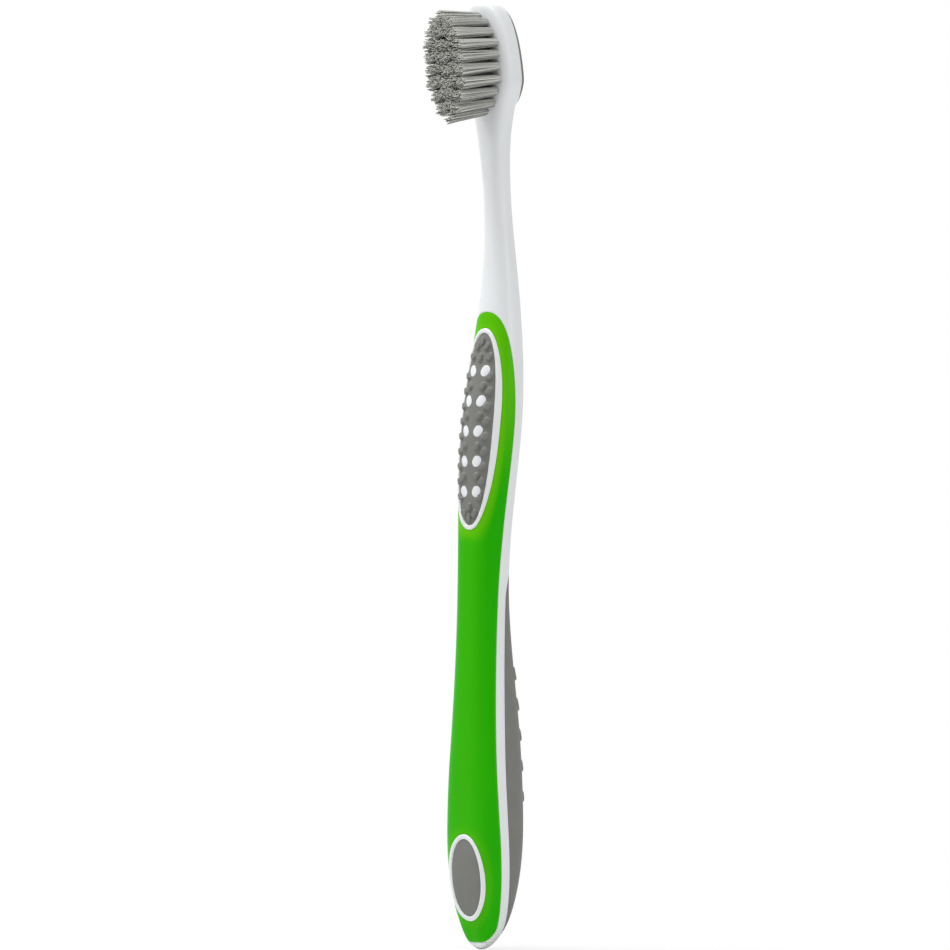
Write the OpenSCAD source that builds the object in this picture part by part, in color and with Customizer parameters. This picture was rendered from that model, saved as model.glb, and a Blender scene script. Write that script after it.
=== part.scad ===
// Manual toothbrush: a white core with a green front shell, a grey back grip,
// a studded thumb pad, an end pad, a tongue cleaner and ten rows of tufts.
// It stands along +Z with the head up, the bristles face -Y, and the tail tip is the origin.

/* [Lengths along the handle] */
// Tail tip to the fullest point of the handle
tail_len = 24; // [18:1:30]
// Fullest point of the handle to the waist
taper_len = 50; // [44:1:60]
// Waist to the middle of the thumb swell
swell_len = 30; // [26:1:36]
// Middle of the thumb swell to the thinnest point of the neck
neck_len = 47; // [42:1:56]
// Thinnest point of the neck to the shoulder of the head
throat_len = 23; // [20:0.5:27]
// Shoulder of the head to its tip
head_len = 16; // [15:0.5:19]

/* [Sections] */
// Width of the handle at its fullest point
tail_w = 14.2; // [12.5:0.1:17]
// Thickness of the handle at its fullest point
tail_t = 15.4; // [13:0.1:18]
// Width of the handle at the waist
waist_w = 9.8; // [8.5:0.1:12]
// Thickness of the handle at the waist
waist_t = 10; // [8.5:0.1:12]
// Width of the handle at the thumb swell
swell_w = 12.6; // [12:0.1:15]
// Thickness of the handle at the thumb swell
swell_t = 9.9; // [9:0.1:12]
// Width of the neck at its thinnest
neck_w = 5.3; // [4.5:0.1:7]
// Thickness of the neck at its thinnest
neck_t = 5.1; // [4.5:0.1:7]
// Width of the head at the shoulder
head_w = 13.5; // [12.5:0.1:15]
// Thickness of the head, tongue cleaner included
head_t = 5.2; // [4.8:0.1:6]
// Squareness of the handle's sections, where 2 is an ellipse
handle_square = 2.4; // [2:0.1:3]
// Squareness of the head's sections, where 2 is an ellipse
head_square = 7; // [5:0.5:9]
// Squareness of the head's outline from the front, where 2 is an ellipse
head_round = 2.6; // [2.2:0.1:3]
// Squareness of the head's tip from the side, where 2 is an ellipse
tip_square = 12; // [8:1:16]
// How late the neck widens towards the shoulder, where 1 is a straight flare
throat_curve = 2.6; // [2.2:0.1:3.5]
// Height below the shoulder where the back of the neck starts to square off
back_soft = 8; // [6:0.5:10]
// Length over which the front of the neck squares off
front_soft = 14; // [10:0.5:17]

/* [Side view] */
// Height above the fullest point where the handle starts to bow
bow_start = 16; // [4:1:20]
// How far the waist lies in front of the tail tip
waist_bow = 0.6; // [-0.5:0.1:2]
// Height above the thumb swell where the neck lies furthest back
neck_bow_at = 29; // [22:1:34]
// How far the neck lies behind the tail tip
neck_bow = 3.45; // [1.5:0.05:4.5]
// How far the middle of the head lies behind the tail tip, at the shoulder
head_back = 0.7; // [-1:0.1:1.5]
// How far the fullest part of the handle lies behind the tail tip
tail_back = 0.5; // [0:0.1:1]
// Forward tilt of the head in degrees
head_tilt = 8; // [0:0.5:10]

/* [Skins and parting lines] */
// Thickness of the green shell and of the grey rubber
skin = 1.2; // [0.9:0.05:1.6]
// Height of the shell's lower edge above the tail tip
shell_foot = 1.3; // [1:0.1:2.5]
// Radius of the corner that the shell's lower edge turns
shell_foot_r = 3; // [2:0.1:4]
// How far the shell's edge lies in front of the section's middle at its highest
edge_high = 3.4; // [2:0.1:4]
// Height above the fullest point where the shell's edge is that far forward
edge_high_at = 10; // [4:1:16]
// How far the shell's edge lies behind the section's middle at the thumb swell
edge_low = 1.3; // [0:0.1:2]
// Height of the arch at the shell's top, above the thumb pad
arch_over = 4.8; // [3.6:0.1:6.5]
// How far the arch runs forward from the thumb swell up
arch_reach = 6.5; // [5.5:0.1:8]
// Width of the white strip between the shell and the back grip
strip_w = 1.6; // [1.2:0.1:2.2]
// Height of the back grip's lower edge above the tail tip
grip_foot = 2; // [1.5:0.1:3]
// Height above the waist where the back grip ends
grip_over = 4; // [0:0.5:8]
// Length over which the grip's edge turns to the back
grip_turn = 12; // [8:1:16]

/* [Thumb pad] */
// Length of the thumb pad
pad_len = 37.6; // [34:0.2:40]
// Width of the thumb pad
pad_w = 9.2; // [8.6:0.1:9.8]
// Height of the pad's middle above the middle of the thumb swell
pad_at = 0.9; // [-1:0.1:1.5]
// Width of the white rim round each pad
rim_w = 1; // [0.8:0.1:1.2]
// How far the rims stand above the shell
rim_proud = 0.2; // [0.1:0.05:0.3]
// Spacing of the rows of white dots
dot_pitch = 6.05; // [5.8:0.05:6.3]
// Number of rows of white dots
dot_rows = 5; // [3:1:5]
// Distance of the dots from the middle
dot_side = 1.7; // [1.6:0.05:1.9]
// Width of a dot
dot_w = 1.7; // [1.4:0.1:1.8]
// Length of a dot
dot_len = 2.4; // [2:0.1:2.6]
// How far the middle pair of dots lies below the pad's middle
dot_drop = 0.9; // [0:0.1:1.5]
// Slant of the dots and studs in degrees
slant = 25; // [0:5:40]
// Width of a stud
stud_w = 1.35; // [1:0.05:1.5]
// Length of a stud
stud_len = 1.9; // [1.5:0.1:2.1]
// Height of a stud
stud_h = 0.4; // [0.2:0.05:0.5]
// Place of the outer studs, as a share of the pad's half width
stud_side = 0.72; // [0.66:0.01:0.76]
// How far the outer studs lie below the dots beside them
stud_drop = 1.05; // [0.6:0.05:1.5]

/* [End pad] */
// Length of the end pad
spot_len = 15.5; // [13:0.5:17]
// Width of the end pad
spot_w = 8.4; // [7:0.1:9]
// Height of the end pad's middle above the tail tip
spot_at = 14.5; // [13:0.1:16]

/* [Back grip] */
// Number of bumps on the back grip
bump_rows = 5; // [4:1:6]
// Spacing of the bumps
bump_pitch = 6.15; // [5.5:0.05:7]
// Height of the lowest bump above the fullest point
bump_at = 5.2; // [1:0.1:6]
// Length of a bump
bump_len = 3; // [2:0.1:4]
// Width of a bump
bump_w = 8; // [6:0.1:9]
// Height of a bump
bump_h = 0.5; // [0.3:0.05:0.8]

/* [Tongue cleaner] */
// Thickness of the rubber on the back of the head
cleaner_t = 0.6; // [0.5:0.05:0.8]
// Height of the cleaner's lower end below the shoulder
cleaner_drop = 4.5; // [3.5:0.5:5.5]
// Number of ribs on the tongue cleaner
rib_rows = 9; // [8:1:10]
// Spacing of the ribs
rib_pitch = 1.6; // [1.4:0.1:1.7]
// Height of the middle rib above the shoulder
rib_at = 3.3; // [2.5:0.1:4]
// Height of a rib
rib_h = 0.3; // [0.2:0.05:0.4]
// How far the ribs end inside the edge of the head
rib_inset = 1.6; // [1:0.1:2.5]
// Thickness of a rib
rib_t = 0.6; // [0.4:0.05:0.8]

/* [Tufts] */
// Radius of a tuft's hole
hole_r = 0.9; // [0.8:0.05:0.95]
// Depth of a tuft's hole
hole_depth = 3.4; // [2.8:0.1:3.6]
// Gap between a tuft and the wall of its hole
hole_gap = 0.02; // [0.01:0.01:0.05]
// Spacing of the rows in the middle of the head
row_pitch = 2.45; // [2.3:0.05:2.5]
// How much the rows crowd towards the ends
row_crowd = 0.005; // [0:0.001:0.006]
// Spacing of the tufts in a row
tuft_pitch = 2.15; // [2.05:0.05:2.2]
// Distance of the first row from the tip of the head
row_edge = 2.4; // [2.2:0.1:2.8]
// Length of a tuft above the head
tuft_len = 11; // [8:0.5:13]
// Lean of the first row in degrees
lean_first = 4.5; // [0:0.5:12]
// Lean of the last row in degrees
lean_last = -2; // [-4:0.5:4]
// Strands in a tuft
strands = 10; // [8:1:12]
// Radius of a strand at its root
strand_r = 0.19; // [0.14:0.01:0.2]
// Radius of a strand at its tip
strand_tip_r = 0.1; // [0.04:0.01:0.12]
// Difference between the longest and the shortest strand
strand_uneven = 1; // [0:0.1:2]
// How many degrees a strand leans out for each millimetre from the tuft's middle
splay = 1.8; // [0:0.1:2]
// Gap between the ends of a metal anchor and its hole
anchor_gap = 0.09; // [0.08:0.01:0.2]
// Height of the metal anchor under a tuft
anchor_h = 0.5; // [0.3:0.05:0.6]
// Thickness of the metal anchor
anchor_t = 0.25; // [0.2:0.05:0.4]

/* [Hidden] */

WHITE = "#E9ECEF";
GREEN = "#45B500";
GREY = "#7B7B77";
BRISTLE = "#A3A39B";
METAL = "#C9BE96";

// Heights of the main sections above the tail tip
tail_z = tail_len;
waist_z = tail_z + taper_len;
swell_z = waist_z + swell_len;
thin_z = swell_z + neck_len;
shoulder_z = thin_z + throat_len;
tip_z = shoulder_z + head_len;
pad_z = swell_z + pad_at;
arch_z = pad_z + pad_len / 2 + arch_over;
arch_len = arch_z - swell_z;
dots_z = pad_z - dot_drop;
grip_z = waist_z + grip_over;
// The head is flat from here up
plate_z = shoulder_z - 5.5;
// Anything this far out is clear of the handle
clear = 30;
// Spacing of the points along a parting line, and their distance from its corners
edge_step = 6;
edge_from = 3;
edge_to = 2;
// Studs at the top and the foot of the thumb pad: distance from its end, share of its half width
TOP_STUDS = [[4.7, 0.68], [2.6, 0.5], [4.9, 0], [1.6, 0]];
FOOT_STUDS = [[2.3, 0.55], [3.6, 0], [1.5, 0]];
// A stud's foot and its top, against its size at the pad's surface
stud_foot = 1.3;
stud_top = 0.4;
// Turn from one strand of a tuft to the next, as in a sunflower's head
golden = 137.5;
// How deep a strand is sunk in the folded end, and how far from its edge it stands
strand_root = 0.3;
strand_wall = 0.05;
// Points round a section
around = 24;
// Points round an oval
oval_points = 26;
// Tufts in each row, from the tip of the head down
ROW_TUFTS = [1, 3, 4, 5, 5, 5, 5, 4, 3, 1];
rows = len(ROW_TUFTS);

// Rises smoothly from 0 to 1
function ease(t) = let (u = max(0, min(1, t))) u * u * (3 - 2 * u);
// Goes smoothly from p at z0 to q at z1
function blend(z, z0, z1, p, q) = p + (q - p) * ease((z - z0) / (z1 - z0));
// The lesser of two values, with a rounded corner of size k
function soft_min(p, q, k) = -k * ln(exp(-p / k) + exp(-q / k));
// A power that keeps its sign
function signed_pow(v, p) = sign(v) * pow(abs(v), p);
// Quarter of a superellipse: 1 at t = 0 and 0 at t = 1
function quarter(t, p) = pow(max(0, 1 - pow(min(1, max(0, t)), p)), 1 / p);

// Half of the head's width, from the neck up over the shoulder to the tip
function head_half(z) =
    let (up = max(0, z - thin_z) / throat_len)
    let (rise = neck_w / 2 + (head_w - neck_w) / 2 * pow(up, throat_curve))
    soft_min(rise, head_w / 2 * quarter((z - shoulder_z) / head_len, head_round), 0.25);
// Half of the width at a height, less an inset all round
function half_w(z, inset) =
    z < tail_z ? (tail_w / 2 - inset) * quarter((tail_z - z) / (tail_z - inset), 2)
    : z < waist_z ? blend(z, tail_z, waist_z, tail_w, waist_w) / 2 - inset
    : z < swell_z ? blend(z, waist_z, swell_z, waist_w, swell_w) / 2 - inset
    : z < thin_z ? blend(z, swell_z, thin_z, swell_w, neck_w) / 2 - inset
    : max(0, head_half(z) - inset);
// Half of the thickness at a height, less an inset all round
function half_t(z, inset) =
    z < tail_z ? (tail_t / 2 - inset) * quarter((tail_z - z) / (tail_z - inset), 2)
    : z < waist_z ? blend(z, tail_z, waist_z, tail_t, waist_t) / 2 - inset
    : z < swell_z ? blend(z, waist_z, swell_z, waist_t, swell_t) / 2 - inset
    : z < thin_z ? blend(z, swell_z, thin_z, swell_t, neck_t) / 2 - inset
    : blend(z, thin_z, plate_z, neck_t, head_t) / 2 * quarter((z - shoulder_z) / head_len, tip_square)
        - inset;
// Squareness of the front and of the back of the section at a height
function front_square(z) = blend(z, thin_z, thin_z + front_soft, handle_square, head_square);
function back_square(z) = blend(z, shoulder_z - back_soft, shoulder_z, handle_square, head_square);

// How far the middle of the section lies to the front
function head_mid(z) = tan(head_tilt) * (z - shoulder_z) - head_back;
function middle(z) =
    let (low_z = swell_z + neck_bow_at)
    z < tail_z ? blend(z, 0, tail_z / 2, 0, -tail_back)
    : z < waist_z ? blend(z, tail_z + bow_start, waist_z, -tail_back, waist_bow)
    : z < low_z ? blend(z, waist_z, low_z, waist_bow, -neck_bow)
    : z < plate_z ? blend(z, low_z, plate_z, -neck_bow, head_mid(plate_z))
    : head_mid(z);

// One closed section, as points round the middle
function section(z, inset) =
    let (w = half_w(z, inset), t = half_t(z, inset))
    [for (k = [0 : around - 1])
        let (a = 360 * k / around, p = 2 / (a < 180 ? back_square(z) : front_square(z)))
        [w * signed_pow(cos(a), p), t * signed_pow(sin(a), p) - middle(z), z]];
// Heights of the sections from the tail tip to the top of the shell
function handle_heights(inset) = concat(
    [for (k = [1 : 8]) let (a = 90 * k / 8) inset + (tail_z - inset) * (1 - cos(a))],
    [for (k = [1 : 7]) tail_z + taper_len * k / 7],
    [for (k = [1 : 4]) waist_z + swell_len * k / 4],
    [for (k = [1 : 4]) swell_z + (arch_len + 2) * k / 4]
);
// Heights of the sections from the top of the shell to the tip of the head
function head_heights() = concat(
    [for (k = [1 : 3]) swell_z + arch_len + 2 + (neck_len - arch_len - 2) * k / 3],
    [for (k = [1 : 9]) thin_z + throat_len * sin(90 * k / 9)],
    [for (k = [1 : 8]) shoulder_z + head_len * sin(86.4 * k / 8)]
);

// A solid through a list of sections, closed by a point at each end
module loft(heights, inset, foot, top) {
    n = len(heights);
    points = concat(
        [[0, -middle(foot), foot]],
        [for (z = heights) each section(z, inset)],
        [[0, -middle(top), top]]
    );
    last = n * around + 1;
    bottom = [for (k = [0 : around - 1]) [0, 1 + k, 1 + (k + 1) % around]];
    sides = [for (i = [0 : n - 2]) for (k = [0 : around - 1])
        let (p = 1 + i * around + k, q = 1 + i * around + (k + 1) % around)
        each [[p, p + around, q], [q, p + around, q + around]]];
    lid = [for (k = [0 : around - 1])
        [last, 1 + (n - 1) * around + (k + 1) % around, 1 + (n - 1) * around + k]];
    polyhedron(points, concat(bottom, sides, lid));
}
// The whole outer form of the brush
module outer_form() loft(concat(handle_heights(0), head_heights()), 0, 0, tip_z);
// The handle's form, drawn in by an inset, or let out where the inset is negative
module handle_form(inset) loft(handle_heights(inset), inset, inset, arch_z + 3);

// A side view outline, as [y, z] points, stretched through the brush
module side_cut(points)
    translate([-clear, 0, 0])
        rotate([90, 0, 90])
            linear_extrude(2 * clear)
                polygon(points);
// A front view outline, stretched to the front from the handle's middle at height z
module front_cut(z)
    translate([0, -middle(z), 0])
        rotate([90, 0, 0])
            linear_extrude(clear)
                children();

// How far the shell's edge lies in front of the section's middle
function shell_edge(z) =
    let (high_z = tail_z + edge_high_at, low_z = shell_foot + shell_foot_r)
    z < low_z ? 0
    : z < high_z ? edge_high * sin(90 * (z - low_z) / (high_z - low_z))
    : blend(z, high_z, swell_z, edge_high, -edge_low);
function side_point(z, forward) = [-middle(z) - forward, z];

// Everything in front of the shell's edge, from its foot to its arch
module shell_zone() {
    foot = [for (a = [0 : 22.5 : 90])
        side_point(shell_foot + shell_foot_r * (1 - sin(a)), shell_foot_r * (1 - cos(a)))];
    low_z = shell_foot + shell_foot_r;
    edge = [for (z = [low_z + edge_from : edge_step : swell_z - edge_to]) side_point(z, shell_edge(z))];
    arch = [for (a = [0 : 11.25 : 90])
        side_point(swell_z + arch_len * sin(a), arch_reach * (1 - cos(a)) - edge_low)];
    side_cut(concat(
        [[-clear, arch_z], [-clear, shell_foot]],
        [for (k = [len(foot) - 1 : -1 : 0]) foot[k]],
        edge,
        arch
    ));
}

// Everything behind the back grip's edge
module grip_zone() {
    start = grip_z - grip_turn;
    low = shell_foot + shell_foot_r;
    turn_r = low - grip_foot;
    foot = [for (a = [90 : -22.5 : 0]) side_point(low - turn_r * sin(a), -strip_w - turn_r * (1 - cos(a)))];
    edge = [for (z = [low + edge_from : edge_step : start - edge_to]) side_point(z, shell_edge(z) - strip_w)];
    turn = [for (a = [0 : 15 : 90])
        let (z = start + grip_turn * sin(a))
        side_point(z, shell_edge(z) - strip_w - grip_turn / 2 * (1 - cos(a)))];
    side_cut(concat([[clear, grip_foot]], foot, edge, turn, [[clear, grip_z]]));
}

module oval(length, width)
    polygon([for (k = [0 : oval_points - 1]) let (a = 360 * (k + 0.5) / oval_points)
        [width / 2 * cos(a), length / 2 * sin(a)]]);
module pad_oval(extra) translate([0, pad_z]) oval(pad_len + 2 * extra, pad_w + 2 * extra);
module spot_oval(extra) translate([0, spot_at]) oval(spot_len + 2 * extra, spot_w + 2 * extra);
// The openings in the shell: both pads, with their rims where extra is a rim's width
module openings(extra) {
    front_cut(pad_z) pad_oval(extra);
    front_cut(spot_at) spot_oval(extra);
}

// A short slanted oval, leaning away from the middle at its top
module slanted(side, length, width, sides) rotate(-sign(side) * slant)
    polygon([for (k = [0 : sides - 1]) let (a = 360 * (k + 0.5) / sides)
        [width / 2 * cos(a), width / 2 * sin(a) + sign(sin(a)) * (length - width) / 2]]);
dot_places = [for (k = [0 : dot_rows - 1]) for (side = [-1, 1])
    [side * dot_side, dots_z + (k - (dot_rows - 1) / 2) * dot_pitch]];
module dots()
    for (p = dot_places)
        translate(p) slanted(p.x, dot_len, dot_w, 10);

// Everything in front of the thumb pad's oval, less the dots that come up through it
module pad_zone()
    difference() {
        front_cut(pad_z) pad_oval(0);
        front_cut(pad_z) dots();
    }

// The space that the shell, the pads and the back grip take from the core
module skin_space() difference() {
    union() {
        difference() {
            shell_zone();
            openings(rim_w);
        }
        pad_zone();
        front_cut(spot_at) spot_oval(0);
        grip_zone();
    }
    handle_form(skin);
}

// The layer that the tongue cleaner takes from the back of the head
module cleaner_space() {
    low = shoulder_z - cleaner_drop;
    side_cut([
        [-head_mid(low) + head_t / 2 - cleaner_t, low],
        [-head_mid(tip_z + 1) + head_t / 2 - cleaner_t, tip_z + 1],
        [clear, tip_z + 1],
        [clear, low]
    ]);
}

// Where row i, tuft j meets the front of the head
function row_step(k) = k * row_pitch * (1 - row_crowd * k * k);
function row_z(i) = tip_z - row_edge - row_step((rows - 1) / 2) + row_step((rows - 1) / 2 - i);
function tuft_x(i, j) = (j - (ROW_TUFTS[i] - 1) / 2) * tuft_pitch;
module at_tuft(i, j)
    translate([tuft_x(i, j), -head_mid(row_z(i)) - head_t / 2, row_z(i)])
        rotate([90 + head_tilt, 0, 0])
            children();

module handle_core() color(WHITE)
    difference() {
        union() {
            difference() {
                outer_form();
                skin_space();
            }
            intersection() {
                handle_form(-rim_proud);
                difference() {
                    openings(rim_w);
                    openings(0);
                }
            }
        }
        cleaner_space();
        for (i = [0 : rows - 1], j = [0 : ROW_TUFTS[i] - 1])
            at_tuft(i, j)
                translate([0, 0, -hole_depth])
                    cylinder(h = hole_depth + 1, r = hole_r, $fn = 8);
    }

module front_shell() color(GREEN)
    difference() {
        intersection() {
            outer_form();
            shell_zone();
        }
        handle_form(skin);
        openings(rim_w);
    }

// The front surface at a distance from the middle, and the way it faces
function front_reach(z, x) =
    let (n = front_square(z), w = half_w(z, 0))
    half_t(z, 0) * pow(max(0, 1 - pow(abs(x) / w, n)), 1 / n);
module on_front(x, z) {
    step = 0.1;
    facing = atan((front_reach(z, x - step) - front_reach(z, x + step)) / (2 * step));
    translate([x, -middle(z) - front_reach(z, x), z])
        rotate([0, 0, facing])
            rotate([90, 0, 0])
                children();
}
function pad_half(z) = pad_w / 2 * quarter(abs(z - pad_z) / (pad_len / 2), 2);
// A stud with a sloping edge
module stud(side)
    linear_extrude(2 * stud_h, scale = stud_top)
        slanted(side, stud_len * stud_foot, stud_w * stud_foot, 6);
stud_columns = [for (k = [1 - dot_rows : dot_rows - 1]) for (side = [-1, 1])
    let (z = dots_z - stud_drop + k * dot_pitch / 2)
    [side * stud_side * pad_half(z), z]];
stud_pairs = [for (k = [1 : dot_rows - 1]) for (side = [-1, 1])
    [side * dot_side, dots_z + (k - dot_rows / 2) * dot_pitch]];
end_studs = [for (end = [-1, 1]) for (row = end > 0 ? TOP_STUDS : FOOT_STUDS)
    for (side = row[1] > 0 ? [-1, 1] : [0])
    let (z = pad_z + end * (pad_len / 2 - row[0]))
    [side * row[1] * pad_half(z), z]];

module thumb_pad() color(GREY)
    union() {
        difference() {
            intersection() {
                outer_form();
                pad_zone();
            }
            handle_form(skin);
        }
        for (p = concat(stud_columns, stud_pairs, end_studs))
            on_front(p.x, p.y)
                translate([0, 0, -stud_h])
                    stud(p.x);
    }

module end_pad() color(GREY)
    difference() {
        intersection() {
            outer_form();
            front_cut(spot_at) spot_oval(0);
        }
        handle_form(skin);
    }

// One bump: a wedge that rises downwards and ends in a step
module bump(z) {
    function back(h) = half_t(h, 0) - middle(h);
    intersection() {
        handle_form(-bump_h);
        side_cut([[0, z], [back(z) + bump_h, z], [back(z + bump_len), z + bump_len], [0, z + bump_len]]);
        rotate([-90, 0, 0])
            linear_extrude(clear)
                hull()
                    for (side = [-1, 1])
                        translate([side * (bump_w - bump_len) / 2, -z - bump_len / 2])
                            circle(bump_len / 2, $fn = 16);
    }
}
module back_grip() color(GREY)
    difference() {
        union() {
            intersection() {
                outer_form();
                grip_zone();
            }
            for (k = [0 : bump_rows - 1])
                bump(tail_z + bump_at + k * bump_pitch);
        }
        handle_form(skin);
    }

// The back face of the head, looking along it
module on_head_back(z)
    translate([0, -head_mid(z) + head_t / 2, z])
        rotate([head_tilt - 90, 0, 0])
            children();
module rib(width) hull()
    for (side = [-1, 1])
        translate([side * (width - rib_t) / 2, 0, -cleaner_t / 2])
            cylinder(h = rib_h + cleaner_t / 2, r1 = rib_t / 2, r2 = rib_t / 4, $fn = 6);
module tongue_cleaner() color(GREY)
    union() {
        intersection() {
            outer_form();
            cleaner_space();
        }
        for (k = [0 : rib_rows - 1]) {
            z = shoulder_z + rib_at + (k - (rib_rows - 1) / 2) * rib_pitch;
            on_head_back(z)
                rib(2 * (head_half(z) - rib_inset));
        }
    }

// A folded tuft end, with its strands fused to it
module tuft(i, j) {
    lean = lean_first + (lean_last - lean_first) * i / (rows - 1);
    uneven = rands(-strand_uneven / 2, strand_uneven / 2, strands, 10 * i + j + 1);
    spread = hole_r - hole_gap - strand_r - strand_wall;
    at_tuft(i, j) {
        translate([0, 0, anchor_h - hole_depth])
            cylinder(h = hole_depth - anchor_h, r = hole_r - hole_gap, $fn = 8);
        for (k = [0 : strands - 1]) {
            r = spread * sqrt(k / (strands - 1));
            a = golden * k;
            translate([r * cos(a), r * sin(a), -strand_root])
                rotate([-lean - splay * r * sin(a), splay * r * cos(a), 0])
                    cylinder(
                        h = tuft_len + strand_root + uneven[k],
                        r1 = strand_r, r2 = strand_tip_r, $fn = 3
                    );
        }
    }
}
module tuft_row(i) color(BRISTLE)
    for (j = [0 : ROW_TUFTS[i] - 1])
        tuft(i, j);

module anchor_plates() color(METAL)
    for (i = [0 : rows - 1], j = [0 : ROW_TUFTS[i] - 1])
        at_tuft(i, j)
            translate([anchor_gap - hole_r, -anchor_t / 2, -hole_depth])
                cube([2 * (hole_r - anchor_gap), anchor_t, anchor_h]);

handle_core();
front_shell();
thumb_pad();
end_pad();
back_grip();
tongue_cleaner();
anchor_plates();
tuft_row(0);  // tuft_row_01
tuft_row(1);  // tuft_row_02
tuft_row(2);  // tuft_row_03
tuft_row(3);  // tuft_row_04
tuft_row(4);  // tuft_row_05
tuft_row(5);  // tuft_row_06
tuft_row(6);  // tuft_row_07
tuft_row(7);  // tuft_row_08
tuft_row(8);  // tuft_row_09
tuft_row(9);  // tuft_row_10
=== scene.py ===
# %% [markdown]
# # A manual toothbrush
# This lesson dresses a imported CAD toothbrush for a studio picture. The brush is moulded from three
# materials: a white core, a glossy green front shell and soft grey rubber pads. Its head carries 36 round
# tufts of nylon bristles. Every surface here is a formula in two parameters, worked out with numpy.

import bmesh
import bpy
import numpy as np
from mathutils import Matrix, Vector


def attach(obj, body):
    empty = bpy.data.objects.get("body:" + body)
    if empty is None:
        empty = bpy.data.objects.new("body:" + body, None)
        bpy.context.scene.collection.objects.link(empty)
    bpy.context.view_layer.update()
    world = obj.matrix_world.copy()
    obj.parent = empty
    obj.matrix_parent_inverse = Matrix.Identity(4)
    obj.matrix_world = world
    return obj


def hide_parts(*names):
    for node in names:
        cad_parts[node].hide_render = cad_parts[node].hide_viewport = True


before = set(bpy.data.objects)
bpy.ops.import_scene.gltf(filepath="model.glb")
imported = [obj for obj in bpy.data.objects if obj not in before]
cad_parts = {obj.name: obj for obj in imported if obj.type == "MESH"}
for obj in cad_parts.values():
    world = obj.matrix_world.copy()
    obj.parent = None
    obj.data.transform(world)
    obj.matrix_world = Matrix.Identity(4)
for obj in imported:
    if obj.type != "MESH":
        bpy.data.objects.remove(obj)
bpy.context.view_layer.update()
# The formulas are in millimetres, and Blender's own lengths are in metres.
MM = 0.001
print("CAD nodes:", sorted(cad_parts))

# %% [markdown]
# ## The camera
# A product picture of a long, slim thing is taken from far away with a long lens, so that both ends look
# the same size. An orthographic camera would make them exactly the same, but a long lens keeps the little
# perspective of a real picture. This camera stands level, 45 degrees round from the front, and is rolled
# by half a degree, as the brush leans a little in the picture.

# %% Camera
AZIMUTH, ROLL = np.radians(45.0), np.radians(0.58)
# The focal length and the sensor's side, and the height of the picture at the brush.
LENS, SENSOR, PICTURE_MM = 250.0, 36.0, 190.76
# The point that the camera looks at.
AIM = np.array([-1.56, -1.56, 95.2])

camera_data = bpy.data.cameras.new("studio_camera")
camera_data.lens = LENS
camera_data.sensor_width = SENSOR
camera_data.sensor_height = SENSOR
camera = bpy.data.objects.new("studio_camera", camera_data)
bpy.context.scene.collection.objects.link(camera)
bpy.context.scene.camera = camera
towards = np.array([np.sin(AZIMUTH), -np.cos(AZIMUTH), 0.0])
distance = PICTURE_MM * LENS / SENSOR
camera.location = Vector((AIM + distance * towards) * MM)
level = Vector(towards).to_track_quat("Z", "Y").to_matrix()
camera.rotation_euler = (level @ Matrix.Rotation(ROLL, 3, "Z")).to_euler()
print("camera distance in mm:", round(distance))

# %% [markdown]
# ## The outer form
# The handle is one long body whose section changes smoothly from tail to head. Each section is a
# superellipse, an oval that can be made squarer by a power. It could be pulled into shape by hand under a
# subdivision surface, but then each skin that lies on it would have to be fitted to it. Here small
# functions give the width, the thickness, the middle and the squareness at every height, and all the
# skins below share them, so that they meet.

# %% Easing from value to value
def ease(t):
    """3 t^2 - 2 t^3 between 0 and 1."""
    u = np.clip(t, 0.0, 1.0)
    return u * u * (3.0 - 2.0 * u)


def blend(z, z0, z1, p, q):
    """p + (q - p) ease((z - z0) / (z1 - z0))."""
    return p + (q - p) * ease((z - z0) / (z1 - z0))


def through(z, stops, values):
    """Eases from value to value between the stops, and keeps the end values outside them."""
    stops, values = np.array(stops), np.array(values)
    k = np.clip(np.searchsorted(stops, z) - 1, 0, len(stops) - 2)
    return blend(z, stops[k], stops[k + 1], values[k], values[k + 1])


def quarter(t, power):
    """(1 - t^power)^(1 / power), 1 at t = 0 and 0 at t = 1."""
    return np.clip(1.0 - np.clip(t, 0.0, 1.0) ** power, 0.0, 1.0) ** (1.0 / power)


# %% Width and thickness
# Heights: the top of the tail's dome, the waist, the thumb swell, the bend of the neck, its thinnest place,
# the start of the head's plate, the plate's shoulder and the head's tip.
TAIL_Z, WAIST_Z, SWELL_Z, BEND_Z = 24.0, 74.0, 104.0, 133.0
THIN_Z, PLATE_Z, SHOULDER_Z, TIP_Z = 151.0, 168.5, 174.0, 190.0
# Half of the width and of the thickness at the tail, the waist, the swell and the thinnest place.
HALF_W, HALF_T = (7.1, 4.9, 6.3, 2.65), (7.7, 5.0, 4.95, 2.55)
# No section shrinks below this, so that nothing is divided by zero at the tips.
LEAST = 1e-4
# The head: its width, thickness and length above the shoulder, and the powers that round its tip seen from
# the front and from the side.
HEAD_W, HEAD_T, HEAD_LEN, HEAD_ROUND, TIP_SQUARE = 13.5, 5.2, TIP_Z - SHOULDER_Z, 2.6, 5.0
# The flare from the neck to the head: its growth, its power and how softly it meets the head's outline.
FLARE, FLARE_POWER, SOFT = 4.1, 2.6, 0.25
# The front half: its thickness as a share of the back half's, and its power.
FRONT_STOPS = [24.0, 50.0, 80.0, 107.0, 127.0, THIN_Z, 165.0]
FRONT_SHARE = [0.75, 0.87, 0.84, 1.2, 1.0, 1.0, 1.0]
FRONT_POWER = [3.4, 2.8, 2.9, 1.95, 2.4, 2.4, 3.6]


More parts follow.
